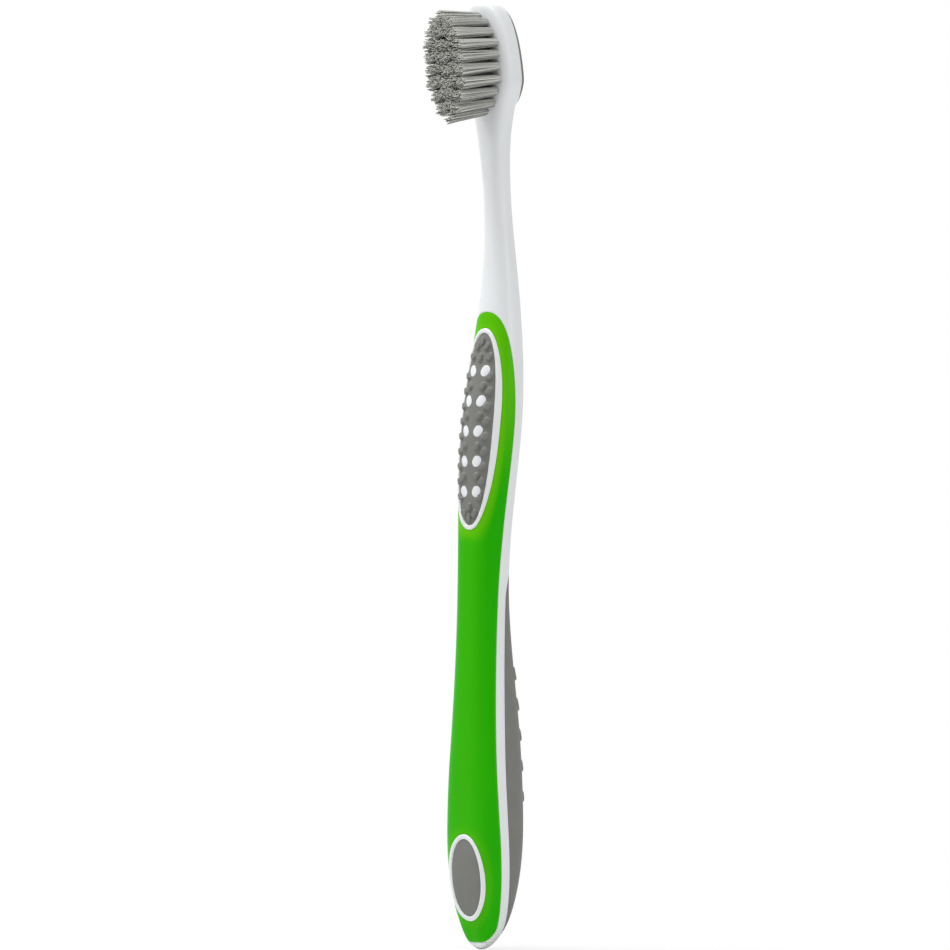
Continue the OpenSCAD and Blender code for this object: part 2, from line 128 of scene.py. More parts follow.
def section(z, halves, head):
    """Half of a size: a dome t sqrt(1 - u^2) at the tail, eased from stop to stop, then the head's own."""
    tail, waist, swell, pale_tint = halves
    return np.maximum(LEAST, np.select(
        [z < TAIL_Z, z < WAIST_Z, z < SWELL_Z, z < THIN_Z],
        [tail * quarter((TAIL_Z - z) / TAIL_Z, 2.0), blend(z, TAIL_Z, WAIST_Z, tail, waist),
         blend(z, WAIST_Z, SWELL_Z, waist, swell), blend(z, SWELL_Z, THIN_Z, swell, pale_tint)], head))


def half_width(z):
    """Half of the width. The head is the soft minimum -s log(e^(-a / s) + e^(-b / s)) of flare and cap."""
    flare = HALF_W[3] + FLARE * np.clip((z - THIN_Z) / (SHOULDER_Z - THIN_Z), 0.0, None) ** FLARE_POWER
    cap = HEAD_W / 2 * quarter((z - SHOULDER_Z) / HEAD_LEN, HEAD_ROUND)
    return section(z, HALF_W, -SOFT * np.log(np.exp(-flare / SOFT) + np.exp(-cap / SOFT)))


def half_thick(z, in_front=False):
    """The thickness from the middle line to the back, or to the front, which is flatter below the thumb."""
    plate = blend(z, THIN_Z, PLATE_Z, HALF_T[3], HEAD_T / 2)
    back = section(z, HALF_T, plate * quarter((z - SHOULDER_Z) / HEAD_LEN, TIP_SQUARE))
    return back * np.where(in_front, through(z, FRONT_STOPS, FRONT_SHARE), 1.0)


print("width and thickness at the swell:", 2 * float(half_width(SWELL_Z)), 2 * float(half_thick(SWELL_Z)))

# %% Middle line and squareness
# The head leans forward by HEAD_TILT, and its middle lies HEAD_BACK behind the axis at the shoulder.
HEAD_TILT, HEAD_BACK = np.radians(8.0), 0.7
# The back half's power rises at the head, whose back has nearly square corners.
BACK_STOPS, BACK_POWER = [169.0, 175.0, 186.0, 189.8], [2.4, 20.0, 14.0, 6.0]


def head_middle(z):
    """The head's own straight, tilted middle line."""
    return np.tan(HEAD_TILT) * (z - SHOULDER_Z) - HEAD_BACK


# Heights, and how far the middle line lies to the front at each of them.
MIDDLE_STOPS = [0.0, 6.0, 40.0, WAIST_Z, BEND_Z, PLATE_Z]
MIDDLE = [0.0, -0.5, -0.5, 0.6, -3.45, head_middle(PLATE_Z)]


def middle(z):
    """How far the middle of the section lies to the front: eased up to the plate, then the head's line."""
    return np.where(z < PLATE_Z, through(z, MIDDLE_STOPS, MIDDLE), head_middle(z))


def squareness(z, in_front):
    """The superellipse's power: 2 is an ellipse, and 20 has nearly square corners."""
    return np.where(in_front, through(z, FRONT_STOPS, FRONT_POWER), through(z, BACK_STOPS, BACK_POWER))


print("the neck's bend lies", -float(middle(BEND_Z)), "mm behind the axis")

# %% Points on the form
def reach(angle, z):
    """r = (|cos a / t|^n + |sin a / w|^n)^(-1 / n), from the middle line. The front is at angle 0."""
    in_front = np.cos(angle) >= 0.0
    t, w, n = half_thick(z, in_front), half_width(z), squareness(z, in_front)
    return (np.abs(np.cos(angle) / t) ** n + np.abs(np.sin(angle) / w) ** n) ** (-1.0 / n)


def on_form(angle, z, out=0.0):
    """The point of the form at an angle round the middle line and a height, moved out by a distance."""
    r = reach(angle, z) + out
    return np.stack(np.broadcast_arrays(r * np.sin(angle), -middle(z) - r * np.cos(angle), z), -1)


def angle_of_forward(forward, z):
    """The angle at which the form's surface lies so far in front of its middle line."""
    t, n = half_thick(z, forward >= 0.0), squareness(z, forward >= 0.0)
    side = half_width(z) * np.clip(1.0 - (np.abs(forward) / t) ** n, 0.0, 1.0) ** (1.0 / n)
    return np.arctan2(side, np.clip(forward, -t, t))


def angle_of_side(side, z):
    """The angle at which the front surface lies so far to the side."""
    t, n = half_thick(z, True), squareness(z, True)
    return np.arctan2(side, t * np.clip(1.0 - np.abs(side / half_width(z)) ** n, 0.0, 1.0) ** (1.0 / n))


# %% [markdown]
# ## Parting lines
# Where two mouldings meet, a thin line shows. The green shell ends along a line on each side that bows
# forward above the tail, sinks back to the thumb swell and sweeps forward again in a pointed arch. The back
# grip ends along a line beside it, with a white strip between the two. The form could be cut along drawn
# curves with a Boolean, which leaves ragged faces beside the cut. Here each line is a function of height, so
# the grids of the skins end on it, and an edge is rounded off by its distance to the line.

# %% Lines and openings
# The thumb pad's and the end pad's ovals, with the width of the white rim round each.
THUMB_OVAL = dict(mid=104.45, length=38.5, width=8.7, power=2.3, rim=1.0)
END_OVAL = dict(mid=14.5, length=15.5, width=8.0, power=2.05, rim=1.0)
OVALS = (THUMB_OVAL, END_OVAL)
# The width of the white strip between the shell and the grip.
STRIP = 2.3
# The shell's line: the radius and the top of the arc at its foot, where it lies furthest forward and
# furthest back and how far, and the height, the length and the power of the arch above the swell.
FOOT_R, FOOT_Z = 3.0, 4.3
FORWARD_Z, SUNK_Z, FORWARD, SUNK = 38.0, 84.0, 3.05, -0.15
ARCH_RISE, ARCH_LEN, ARCH_POWER = 5.2, 25.3, 0.6
# The grip's line: the radius at its foot, and the height, the depth and the length of the turn at its top.
GRIP_FOOT_R, TURN_Z, TURN_DEPTH, TURN_LEN = 2.3, 70.0, 6.0, 8.2
# A place far behind the form, for heights at which there is no grip.
NOWHERE = -99.0


def shell_line(z):
    """How far in front of the middle line the shell ends: an arc, a sine, an ease and a pointed arch."""
    foot = FOOT_R - np.sqrt(np.clip(FOOT_R ** 2 - (z - FOOT_Z) ** 2, 0.0, None))
    low = FORWARD * np.sin(np.pi / 2 * (z - FOOT_Z) / (FORWARD_Z - FOOT_Z))
    falling = blend(z, FORWARD_Z, SUNK_Z, FORWARD, SUNK)
    round_top = np.clip(1.0 - ((z - SWELL_Z) / ARCH_LEN) ** 2, 0.0, None) ** ARCH_POWER
    arch = SUNK + ARCH_RISE - ARCH_RISE * round_top
    return np.select([z < FOOT_Z, z < FORWARD_Z, z < SWELL_Z], [foot, low, falling], arch)


def grip_line(z):
    """How far in front of the middle line the back grip ends, which turns to the back at its top."""
    arc = np.sqrt(np.clip(1.0 - ((FOOT_Z - z) / GRIP_FOOT_R) ** 2, 0.0, None))
    foot = GRIP_FOOT_R * arc - GRIP_FOOT_R - STRIP
    turn = TURN_DEPTH * np.sqrt(np.clip(1.0 - ((z - TURN_Z) / TURN_LEN) ** 2, 0.0, None)) - TURN_DEPTH
    edge = shell_line(z) - STRIP
    return np.select([z < FOOT_Z - GRIP_FOOT_R, z < FOOT_Z, z < TURN_Z, z < TURN_Z + TURN_LEN],
                     [NOWHERE + 0 * z, foot, edge, edge + turn], NOWHERE)


def oval_half(z, oval, grow=0.0):
    """Half of an oval's width at a height, a (1 - |(z - z0) / b|^p)^(1 / p), for the oval made larger."""
    u = np.abs(z - oval["mid"]) / (oval["length"] / 2 + grow)
    return (oval["width"] / 2 + grow) * quarter(u, oval["power"])


# %% Distances to a line
# The steps in radians and in mm over which a slope is measured.
STEP_A, STEP_Z = 0.002, 0.01


def oval_level(angle, z, oval, grow=0.0):
    """(|x / a|^p + |(z - z0) / b|^p)^(1 / p) - 1, which is 0 on an oval opening seen from the front."""
    x = np.abs(reach(angle, z) * np.sin(angle)) / (oval["width"] / 2 + grow)
    u = np.abs(z - oval["mid"]) / (oval["length"] / 2 + grow)
    inside = (x ** oval["power"] + u ** oval["power"]) ** (1 / oval["power"]) - 1.0
    return np.where(np.cos(angle) > 0.0, inside, 1.0)


def line_level(angle, z, line):
    """How far the surface lies in front of a line."""
    return reach(angle, z) * np.cos(angle) - line(z)


def distance_to(level, angle, z, *data):
    """|g| / |grad g| along the surface, the distance to g = 0 near it."""
    square = 0.0
    for da, dz in ((STEP_A, 0.0), (0.0, STEP_Z)):
        rise = level(angle + da, z + dz, *data) - level(angle - da, z - dz, *data)
        run = np.linalg.norm(on_form(angle + da, z + dz) - on_form(angle - da, z - dz), axis=-1)
        square = square + (rise / np.maximum(run, 1e-9)) ** 2
    return np.abs(level(angle, z, *data)) / np.sqrt(np.maximum(square, 1e-12))


def rounded(away, radius):
    """The drop r - sqrt(r^2 - (r - d)^2) of a rounded edge at a distance d from it."""
    left = np.clip(radius - away, 0.0, radius)
    return radius - np.sqrt(radius ** 2 - left ** 2)


# %% Rows and columns of a grid
def crowded(count, pull):
    """count + 1 values from 0 to 1, u - pull sin(2 pi u) / (2 pi), which crowd at both ends."""
    u = np.linspace(0.0, 1.0, count + 1)
    return u - pull * np.sin(2 * np.pi * u) / (2 * np.pi)


def heights(stops, counts):
    """Heights a + (b - a) (1 - cos(pi i / n)) / 2 from stop to stop, which crowd at each of them."""
    parts = [a + (b - a) * (1 - np.cos(np.pi * np.arange(n) / n)) / 2
             for a, b, n in zip(stops, stops[1:], counts)]
    return np.concatenate(parts + [stops[-1:]])


def crossing(low, high, line, leaves):
    """The height from low to high at which a line leaves the form, or comes onto it, found by halving."""
    for _ in range(50):
        mid = (low + high) / 2
        on = np.abs(line(mid)) < half_thick(mid, line(mid) > 0.0)
        low, high = (mid, high) if on == leaves else (low, mid)
    return float(low)


SHELL_LOW = crossing(1.3, 4.0, shell_line, leaves=False)
SHELL_TOP = crossing(120.0, 129.2, shell_line, leaves=True)
GRIP_LOW = crossing(2.01, 4.2, grip_line, leaves=False)
GRIP_TOP = crossing(66.0, 77.99, grip_line, leaves=True)
print("the shell spans", SHELL_LOW, SHELL_TOP, "and the grip", GRIP_LOW, GRIP_TOP)

# %% [markdown]
# ## From grids to meshes
# A surface is an array of points with rows and columns, and neighbours in the array make a quad. Geometry
# nodes or a loft of curves could do this too, but an array shows the formula plainly. Points that fall
# together, as at a pole, are welded, and the faces that collapse with them are dropped.

# %% Faces
def grid_faces(rows, columns, wrap=False, ring=False):
    """Quads (i, j), (i, j + 1), (i + 1, j + 1), (i + 1, j) of an array of points. wrap joins the last
    column to the first, and ring the last row to the first."""
    index = np.arange(rows * columns).reshape(rows, columns)
    if ring:
        index = np.concatenate([index, index[:1]], 0)
    if wrap:
        index = np.concatenate([index, index[:, :1]], 1)
    return np.stack([index[:-1, :-1], index[:-1, 1:], index[1:, 1:], index[1:, :-1]], -1).reshape(-1, 4)


def copies(faces, count, size):
    """The faces of equal grids of a size that follow each other: face + k size."""
    return (faces[None] + (np.arange(count) * size)[:, None, None]).reshape(-1, 4)


def both_sides(points, faces):
    """A half and its mirror image (-x, y, z), whose faces run the other way round."""
    mirrored = faces[:, ::-1] + points.size // 3
    return np.stack([points, points * [-1, 1, 1]]), np.concatenate([faces, mirrored])


# %% Pieces
# Points closer than WELD become one, and edges shorter than SLIVER go, in metres. Faces that meet at more
# than CREASE keep a sharp edge.
WELD, SLIVER, CREASE = 2e-6, 1e-7, np.radians(40.0)


def piece(name, points, faces, material, slot, nodes, closed=True, tone=None, weld=True):
    """A mesh object on the root body that stands for some CAD nodes, from points in mm. A closed body has
    its normals recalculated, and a sheet keeps the side that its faces give it."""
    mesh = bpy.data.meshes.new(name)
    mesh.from_pydata((points.reshape(-1, 3) * MM).tolist(), [], faces.tolist())
    if tone is not None:
        mesh.attributes.new("tone", "FLOAT", "POINT").data.foreach_set("value", tone.ravel())
    work = bmesh.new()
    work.from_mesh(mesh)
    if weld:
        bmesh.ops.remove_doubles(work, verts=work.verts, dist=WELD)
        bmesh.ops.dissolve_degenerate(work, edges=work.edges, dist=SLIVER)
    if closed:
        bmesh.ops.recalc_face_normals(work, faces=work.faces)
    work.to_mesh(mesh)
    work.free()
    mesh.shade_smooth()
    mesh.set_sharp_from_angle(angle=CREASE)
    mesh.materials.append(material)
    thing = bpy.data.objects.new(name, mesh)
    bpy.context.scene.collection.objects.link(thing)
    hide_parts(*nodes)
    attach(thing, "root")
    print(name, len(mesh.polygons), "faces")
    return thing


def thicken(thing, depth):
    """Gives a sheet its thickness in mm inwards, against its normals."""
    solid = thing.modifiers.new("thickness", "SOLIDIFY")
    solid.thickness = depth * MM
    solid.offset = -1.0


# %% [markdown]
# ## Materials
# Moulded plastic is nearly one colour, with a faint cloud from the flow of the melt and a fine grain from
# the tool's steel. A painted texture could show both, but noise in Object coordinates has no seams and
# needs no file. A pattern's scale comes from millimetres: Object coordinates are metres here, so a grain
# of 0.2 mm has a scale of 5000.

# %% Material helpers
# The depth in mm of the relief that a full swing of the grain stands for.
GRAIN_DEPTH = 0.02


def linear(code):
    """sRGB hex to linear: c / 12.92 below 0.04045, else ((c + 0.055) / 1.055)^2.4."""
    c = np.array([int(code[k:k + 2], 16) / 255 for k in (1, 3, 5)])
    return (*np.where(c <= 0.04045, c / 12.92, ((c + 0.055) / 1.055) ** 2.4), 1.0)


def blank(owner):
    """A material or world with nodes switched on and none in it yet."""
    owner.use_nodes = True
    owner.node_tree.nodes.clear()
    return owner


def add(material, kind, inputs, **settings):
    """Adds a node with its settings. An input is a value, or another node's output to link."""
    node = material.node_tree.nodes.new(kind)
    for name, value in settings.items():
        setattr(node, name, value)
    for name, value in inputs.items():
        if isinstance(value, bpy.types.NodeSocket):
            material.node_tree.links.new(value, node.inputs[name])
        else:
            node.inputs[name].default_value = value
    return node


def moulded(name, dark, light, cloud_mm, grain_mm, bump, pale_tint=None, **shader):
    """A moulded plastic or rubber: a faint cloud from dark to light, and a fine grain as bump. Where the
    mesh's tone rises to 1 the colour goes over to pale_tint; on the green shell that tone holds both thin
    skin and a painted highlight."""
    material = blank(bpy.data.materials.new(name))
    place = add(material, "ShaderNodeTexCoord", {}).outputs["Object"]
    cloud = add(material, "ShaderNodeTexNoise", {"Vector": place, "Scale": 1 / (cloud_mm * MM)})
    colours = {"Factor": cloud.outputs["Fac"], "A": linear(dark), "B": linear(light)}
    tint = add(material, "ShaderNodeMix", colours, data_type="RGBA")
    if pale_tint:
        tone = add(material, "ShaderNodeAttribute", {}, attribute_name="tone")
        colours = {"Factor": tone.outputs["Fac"], "A": tint.outputs["Result"], "B": linear(pale_tint)}
        tint = add(material, "ShaderNodeMix", colours, data_type="RGBA")
    grain = add(material, "ShaderNodeTexNoise", {"Vector": place, "Scale": 1 / (grain_mm * MM)})
    relief = add(material, "ShaderNodeBump",
                 {"Height": grain.outputs["Fac"], "Strength": bump, "Distance": GRAIN_DEPTH * MM})
    surface = add(material, "ShaderNodeBsdfPrincipled",
                  {"Base Color": tint.outputs["Result"], "Normal": relief.outputs["Normal"], **shader})
    add(material, "ShaderNodeOutputMaterial", {"Surface": surface.outputs["BSDF"]})
    return material


# %% The brush's materials
# Polypropylene core, injection moulded in a satin tool: near white with soft, broad highlights.
white_plastic = moulded("polypropylene_satin_moulded", "#E4E7E9", "#ECEEF0", 9.0, 0.25, 0.15,
                        Roughness=0.34, IOR=1.49)
# Shell moulded over it in a polished tool: deep clean green, and paler round its openings and at its edges,
# where the skin is thin and the white core shines through it. The same pale tint up over the thumb swell and
# down the middle of the front is a painted highlight, where the lit front catches the light.
green_plastic = moulded("polypropylene_gloss_overmoulded", "#1FAC00", "#29B202", 12.0, 0.6, 0.05,
                        pale_tint="#6CC60A", **{"Roughness": 0.2, "IOR": 1.49, "Specular IOR Level": 0.05})
# Thermoplastic elastomer moulded in a spark-eroded tool: matt grey that swallows highlights.
grey_rubber = moulded("elastomer_matt_overmoulded", "#6D6E6A", "#787974", 3.0, 0.12, 0.5,
                      Roughness=0.62, IOR=1.5)
# Flattened brass wire, the anchors under the tufts: warm, with a short bright highlight.
anchor_metal = moulded("brass_drawn_wire", "#B9A878", "#C9BA8C", 0.5, 0.08, 0.2,
                       Roughness=0.3, Metallic=1.0)

# %% [markdown]
# Nylon filaments are extruded and lightly translucent. Real light through hundreds of thin strands is slow
# and grainy to render. Instead each strand carries its own tone as a number on its points, so neighbouring
# strands differ a little. Light and shade are painted into that tone as well: painted shade on each tuft's
# underside and on the feet among the inner tufts, and a painted highlight on the tips.

# %% Bristle material
grey_nylon = blank(bpy.data.materials.new("nylon_extruded_filament"))
tone = add(grey_nylon, "ShaderNodeAttribute", {}, attribute_name="tone")
# From dark to light: the dark end is reached where painted shade lowers a strand's tone.
colours = {"Factor": tone.outputs["Fac"], "A": linear("#2A2B28"), "B": linear("#DADBD5")}
strand_tint = add(grey_nylon, "ShaderNodeMix", colours, data_type="RGBA")
nylon = add(grey_nylon, "ShaderNodeBsdfPrincipled",
            {"Base Color": strand_tint.outputs["Result"], "Roughness": 0.42, "IOR": 1.53})
add(grey_nylon, "ShaderNodeOutputMaterial", {"Surface": nylon.outputs["BSDF"]})

# %% The CAD nodes' materials
CAD_MATERIALS = {"anchor_plates": anchor_metal, "handle_core": white_plastic, "front_shell": green_plastic,
                 "thumb_pad": grey_rubber, "end_pad": grey_rubber, "back_grip": grey_rubber,
                 "tongue_cleaner": grey_rubber}
for name, material in CAD_MATERIALS.items():
    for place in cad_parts[name].material_slots:
        place.material = material
print("materials:", [m.name for m in bpy.data.materials])

# %% [markdown]
# ## The green shell
# The shell is a thin moulding over the front of the core, with an opening for each pad. It could be a copy
# of the form with Boolean cuts. Here it is one sheet from the front's middle to its line on each side.
# Each row of points starts at the middle, or at an opening's edge where the row crosses one, so the
# openings come out clean. Its edges are rounded off, and a modifier gives it its wall.

# %% Front shell
# The radius of a skin's edge, a skin's thickness, and how deep the core lies under it, with a little air.
EDGE_R, SKIN, COVER = 0.16, 1.0, 1.1


def ends(oval):
    """The lowest and the highest point of the opening that an oval's rim fills."""
    return [oval["mid"] + side * (oval["length"] / 2 + oval["rim"]) for side in (-1, 1)]


shell_z = heights([SHELL_LOW, *ends(END_OVAL), *ends(THUMB_OVAL), SHELL_TOP], [14, 30, 60, 90, 16])[:, None]
start = angle_of_side(sum(oval_half(shell_z, oval, oval["rim"]) for oval in OVALS), shell_z)
end = angle_of_forward(shell_line(shell_z), shell_z)
shell_a = start + (np.maximum(end, start) - start) * crowded(36, 0.93)
line_edge = distance_to(line_level, shell_a, shell_z, shell_line)
rim_edge = np.minimum(*[distance_to(oval_level, shell_a, shell_z, oval, oval["rim"]) for oval in OVALS])
shell_half = on_form(shell_a, shell_z, -rounded(np.minimum(line_edge, rim_edge), EDGE_R))

# %% Where the shell is pale, and where a highlight is painted on it
# Each share falls or rises over a distance in mm: round the rims, less at the end pad, and along the parting
# line, where the skin is thin. Up over the thumb swell and down the middle of the front, where the angle is 0
# radians, the share is a painted highlight where the lit front catches the light.
by_rim = blend(shell_z, 30.0, 70.0, 0.35, 0.8) * blend(rim_edge, 0.0, 3.5, 1.0, 0.0)
by_line = blend(line_edge, 0.0, 0.5, 0.5, 0.0)
# Painted highlight: the shell goes paler up over the thumb swell and down the middle of the front, where the
# light falls on it.
painted_swell_highlight = blend(shell_z, 90.0, 115.0, 0.0, 0.6)
painted_front_highlight = blend(np.abs(shell_a), 0.0, 1.3, 0.16, 0.0)
thin_skin_and_highlight = np.maximum(np.maximum(by_rim, by_line), np.maximum(painted_swell_highlight, painted_front_highlight))
shell = piece("front_shell_skin", *both_sides(shell_half, grid_faces(*shell_a.shape)), green_plastic,
              "green_plastic", ["front_shell"], closed=False, tone=np.stack([thin_skin_and_highlight, thin_skin_and_highlight]))
thicken(shell, SKIN)

# %% [markdown]
# ## The white core
# The core is one closed body. Where a skin lies on it, its surface is drawn in under the skin, and it comes
# out again as the strips between the skins, as the neck and as the head. It could be left whole with the
# skins laid over it, but then they would stand out in steps. Each row of points has three parts: under the
# shell, bare, and under the grip or the tongue cleaner. A part that isn't there at a height shrinks to
# nothing and is welded away.

# %% Core rows
# The cleaner's lowest and highest point, a little below the head's tip, and its thickness.
CLEANER_LOW, CLEANER_HIGH, CLEANER_T = 169.5, TIP_Z - 0.9, 0.85
# The height of the ledge above the cleaner.
LEDGE = 0.02
# Over this height above the grip, the rows' back parts open from the middle of the back to the cleaner.
BACK_TURN = 30.0


def cleaner_line(z):
    """How far behind the middle line the cleaner's layer starts, as a distance to the front."""
    return np.where(z < PLATE_Z, CLEANER_T - half_thick(z), CLEANER_T - HEAD_T / 2)


def cleaner_plane(z):
    """The place of that layer's underside."""
    return HEAD_T / 2 - CLEANER_T - head_middle(z)


core_z = heights([0.0, SHELL_LOW, GRIP_LOW, FOOT_Z, TAIL_Z, GRIP_TOP, SHELL_TOP, THIN_Z, CLEANER_LOW,
                  SHOULDER_Z, CLEANER_HIGH, CLEANER_HIGH + LEDGE, TIP_Z],
                 [10, 6, 8, 36, 70, 60, 24, 24, 10, 40, 1, 16])[:, None]
front_a = angle_of_forward(shell_line(core_z), core_z)
grip_a = angle_of_forward(grip_line(core_z), core_z)
up_to_end = np.minimum(core_z, CLEANER_HIGH)
cleaner_a = angle_of_forward(cleaner_line(up_to_end), up_to_end)
opened_a = np.pi + (cleaner_a - np.pi) * ease((core_z - GRIP_TOP) / BACK_TURN)
back_a = np.where(core_z > GRIP_TOP, opened_a, grip_a)
print("core rows:", len(core_z))

# %% Core body
front_part = front_a * np.linspace(0.0, 1.0, 8)
bare_part = front_a + (back_a - front_a) * crowded(56, 0.9)
back_part = back_a + (np.pi - back_a) * np.linspace(0.0, 1.0, 18)
core_a = np.concatenate([front_part, bare_part, back_part], 1)
bare_drop = np.maximum(rounded(distance_to(line_level, bare_part, core_z, shell_line), EDGE_R),
                       rounded(distance_to(line_level, bare_part, core_z, grip_line), EDGE_R))
under_shell = COVER * ((core_z > SHELL_LOW) & (core_z < SHELL_TOP))
under_grip = COVER * ((core_z > GRIP_LOW) & (core_z < GRIP_TOP))
core_out = np.concatenate([-under_shell + 0 * front_part, -bare_drop, -under_grip + 0 * back_part], 1)
core_half = on_form(core_a, core_z, core_out)
core_y = core_half[..., 1]
under_cleaner = (core_z > CLEANER_LOW) & (core_z < CLEANER_HIGH + LEDGE / 2)
core_half[..., 1] = np.where(under_cleaner, np.minimum(core_y, cleaner_plane(core_z)), core_y)
piece("core_body", *both_sides(core_half, grid_faces(*core_a.shape)), white_plastic, "white_plastic",
      ["handle_core"])

# %% [markdown]
# ## Rims and dots
# The core shows again as a raised bead round each pad and as ten slanted dots among the thumb pad's
# studs. A bead could be a bevelled curve, but a curve wouldn't follow the bulge of the handle. Here it is a
# small rounded profile carried round an oval on the form, and a dot is a cap over a slanted oval.

# %% Rim beads
# The radius of a rim's edges, and how far it stands out of the form.
RIM_R, RIM_PROUD = 0.3, 0.2


def bead(oval):
    """A ring of points: the profile's offsets from the oval's edge, and its rounded top, along the oval."""
    turn = np.linspace(0.0, 2 * np.pi, 240, endpoint=False)[:, None]
    across, along = [np.sign(v) * np.abs(v) ** (2 / oval["power"]) for v in (np.cos(turn), np.sin(turn))]
    arc = np.linspace(0.0, np.pi / 2, 6)
    inner, outer = RIM_R * (1 - np.cos(arc)), oval["rim"] - RIM_R * (1 - np.cos(arc[::-1]))
    offset = np.concatenate([[0.0], inner, outer, [oval["rim"]]])
    top = np.concatenate([[-COVER], RIM_PROUD - RIM_R * (1 - np.sin(arc)),
                          RIM_PROUD - RIM_R * (1 - np.sin(arc[::-1])), [-COVER]])
    z = oval["mid"] + (oval["length"] / 2 + offset) * along
    return on_form(angle_of_side((oval["width"] / 2 + offset) * across, z), z, top)


beads = np.stack([bead(oval) for oval in OVALS])
bead_faces = grid_faces(beads.shape[1], beads.shape[2], wrap=True, ring=True)
piece("pad_rims", beads, copies(bead_faces, len(OVALS), beads[0].size // 3), white_plastic, "white_plastic",
      ["handle_core"])

# %% Dots
# Five pairs: the middle pair's height, the pitch, how far a dot lies to its side, its slant and its size.
DOTS_Z, DOT_PITCH, DOT_SIDE, SLANT = 104.0, 6.05, 1.7, np.radians(30.0)
DOT_LEN, DOT_W = 2.5, 2.05
# A dot's rings as shares of its half width, and how far each stands out: a low crown over a sunk wall.
DOT_RINGS = np.array([0.0, 0.35, 0.65, 0.82, 0.92, 0.98, 1.0, 1.0])[None, :, None]
DOT_OUT = np.array([0.08, 0.075, 0.06, 0.04, 0.01, -0.04, -0.1, -0.7])[None, :, None]


def slanted(along, across, x0, z0):
    """Turns a point of a slanted oval from its own axes to the front view. It leans out at its top."""
    lean = -np.sign(x0) * SLANT
    x = x0 + across * np.cos(lean) - along * np.sin(lean)
    return x, z0 + across * np.sin(lean) + along * np.cos(lean)


dot_x0 = (np.tile([-1.0, 1.0], 5) * DOT_SIDE)[:, None, None]
dot_z0 = (DOTS_Z + (np.repeat(np.arange(5), 2) - 2) * DOT_PITCH)[:, None, None]
dot_turn = np.linspace(0.0, 2 * np.pi, 40, endpoint=False)
# The two half discs are drawn apart by the extra length, which sets in quickly on both sides.
apart = np.sign(np.sin(dot_turn)) * (DOT_LEN - DOT_W) / 2 * np.minimum(1.0, 6.0 * np.abs(np.sin(dot_turn)))
dot_along = DOT_RINGS * (DOT_W / 2 * np.sin(dot_turn) + apart)
dot_across = DOT_RINGS * DOT_W / 2 * np.cos(dot_turn)
dot_x, dot_z = slanted(dot_along, dot_across, dot_x0, dot_z0)
dots = on_form(angle_of_side(dot_x, dot_z), dot_z, DOT_OUT)
dot_faces = grid_faces(dots.shape[1], dots.shape[2], wrap=True)
piece("thumb_dots", dots, copies(dot_faces, len(dots), dots[0].size // 3), white_plastic, "white_plastic",
      ["handle_core"])

# %% [markdown]
# ## The rubber pads
# The thumb pad is a soft oval with slanted studs that keep the thumb from slipping. Studs could be small
# meshes joined to it, with seams round their feet. Here the pad is a height field over its oval, and the
# height of a stud is a smooth function of the distance from a short slanted line. The end pad is plain and
# slightly domed.

# %% Studs
# A stud's width, length and height. It is full up to STUD_FLAT of its half width.
STUD_W, STUD_LEN, STUD_H, STUD_FLAT = 1.4, 1.9, 0.5, 0.6
# Nine pairs in the outer columns: their place as a share of the pad's half width, and how far below a
# dot's height they lie.
OUTER_SHARE, OUTER_DROP = 0.74, 1.05
# The studs at the pad's ends: the end, the distance from it, and the share of the half width there.
END_STUDS = [(1, 4.7, -0.68), (1, 4.7, 0.68), (1, 2.6, -0.5), (1, 2.6, 0.5), (1, 4.9, 0.0), (1, 1.6, 0.0),
             (-1, 2.3, -0.55), (-1, 2.3, 0.55), (-1, 3.6, 0.0), (-1, 1.5, 0.0)]


def stud_places():
    """The studs in the front view: two outer columns, pairs between the dots, and both ends."""
    outer_z = DOTS_Z - OUTER_DROP + np.repeat(np.arange(-4, 5), 2) * DOT_PITCH / 2
    outer_x = np.tile([-1.0, 1.0], 9) * OUTER_SHARE * oval_half(outer_z, THUMB_OVAL)
    inner_z = DOTS_Z + (np.repeat(np.arange(1, 5), 2) - 2.5) * DOT_PITCH
    inner_x = np.tile([-1.0, 1.0], 4) * DOT_SIDE
    end, inwards, share = np.array(END_STUDS).T
    end_z = THUMB_OVAL["mid"] + end * (THUMB_OVAL["length"] / 2 - inwards)
    end_x = share * oval_half(end_z, THUMB_OVAL)
    return np.concatenate([np.stack(pair, -1) for pair in
                           ((outer_x, outer_z), (inner_x, inner_z), (end_x, end_z))])


def slanted_share(x, z, x0, z0, length, width):
    """The distance from a short slanted line, over half of the width: 1 on a slanted stadium's edge."""
    lean = -np.sign(x0) * SLANT
    across = (x - x0) * np.cos(lean) + (z - z0) * np.sin(lean)
    along = (z - z0) * np.cos(lean) - (x - x0) * np.sin(lean)
    return np.hypot(across, np.maximum(np.abs(along) - (length - width) / 2, 0.0)) / (width / 2)


def stud_height(x, z):
    """The highest of all the studs, h (1 - ease((s - 0.6) / 0.4)), kept low on and beside the dots."""
    height = 0.0 * (x + z)
    for x0, z0 in stud_places():
        share = slanted_share(x, z, x0, z0, STUD_LEN, STUD_W)
        height = np.maximum(height, blend(share, STUD_FLAT, 1.0, STUD_H, 0.0))
    for x0, z0 in zip(dot_x0.ravel(), dot_z0.ravel()):
        height = height * ease((slanted_share(x, z, x0, z0, DOT_LEN, DOT_W) - 1.0) / 0.2)
    return height


print("studs:", len(stud_places()))

# %% Thumb pad and end pad
# Over this distance from the pad's edge the studs rise, and the end pad's dome is so high.
STUD_MARGIN, DOME = 0.35, 0.1


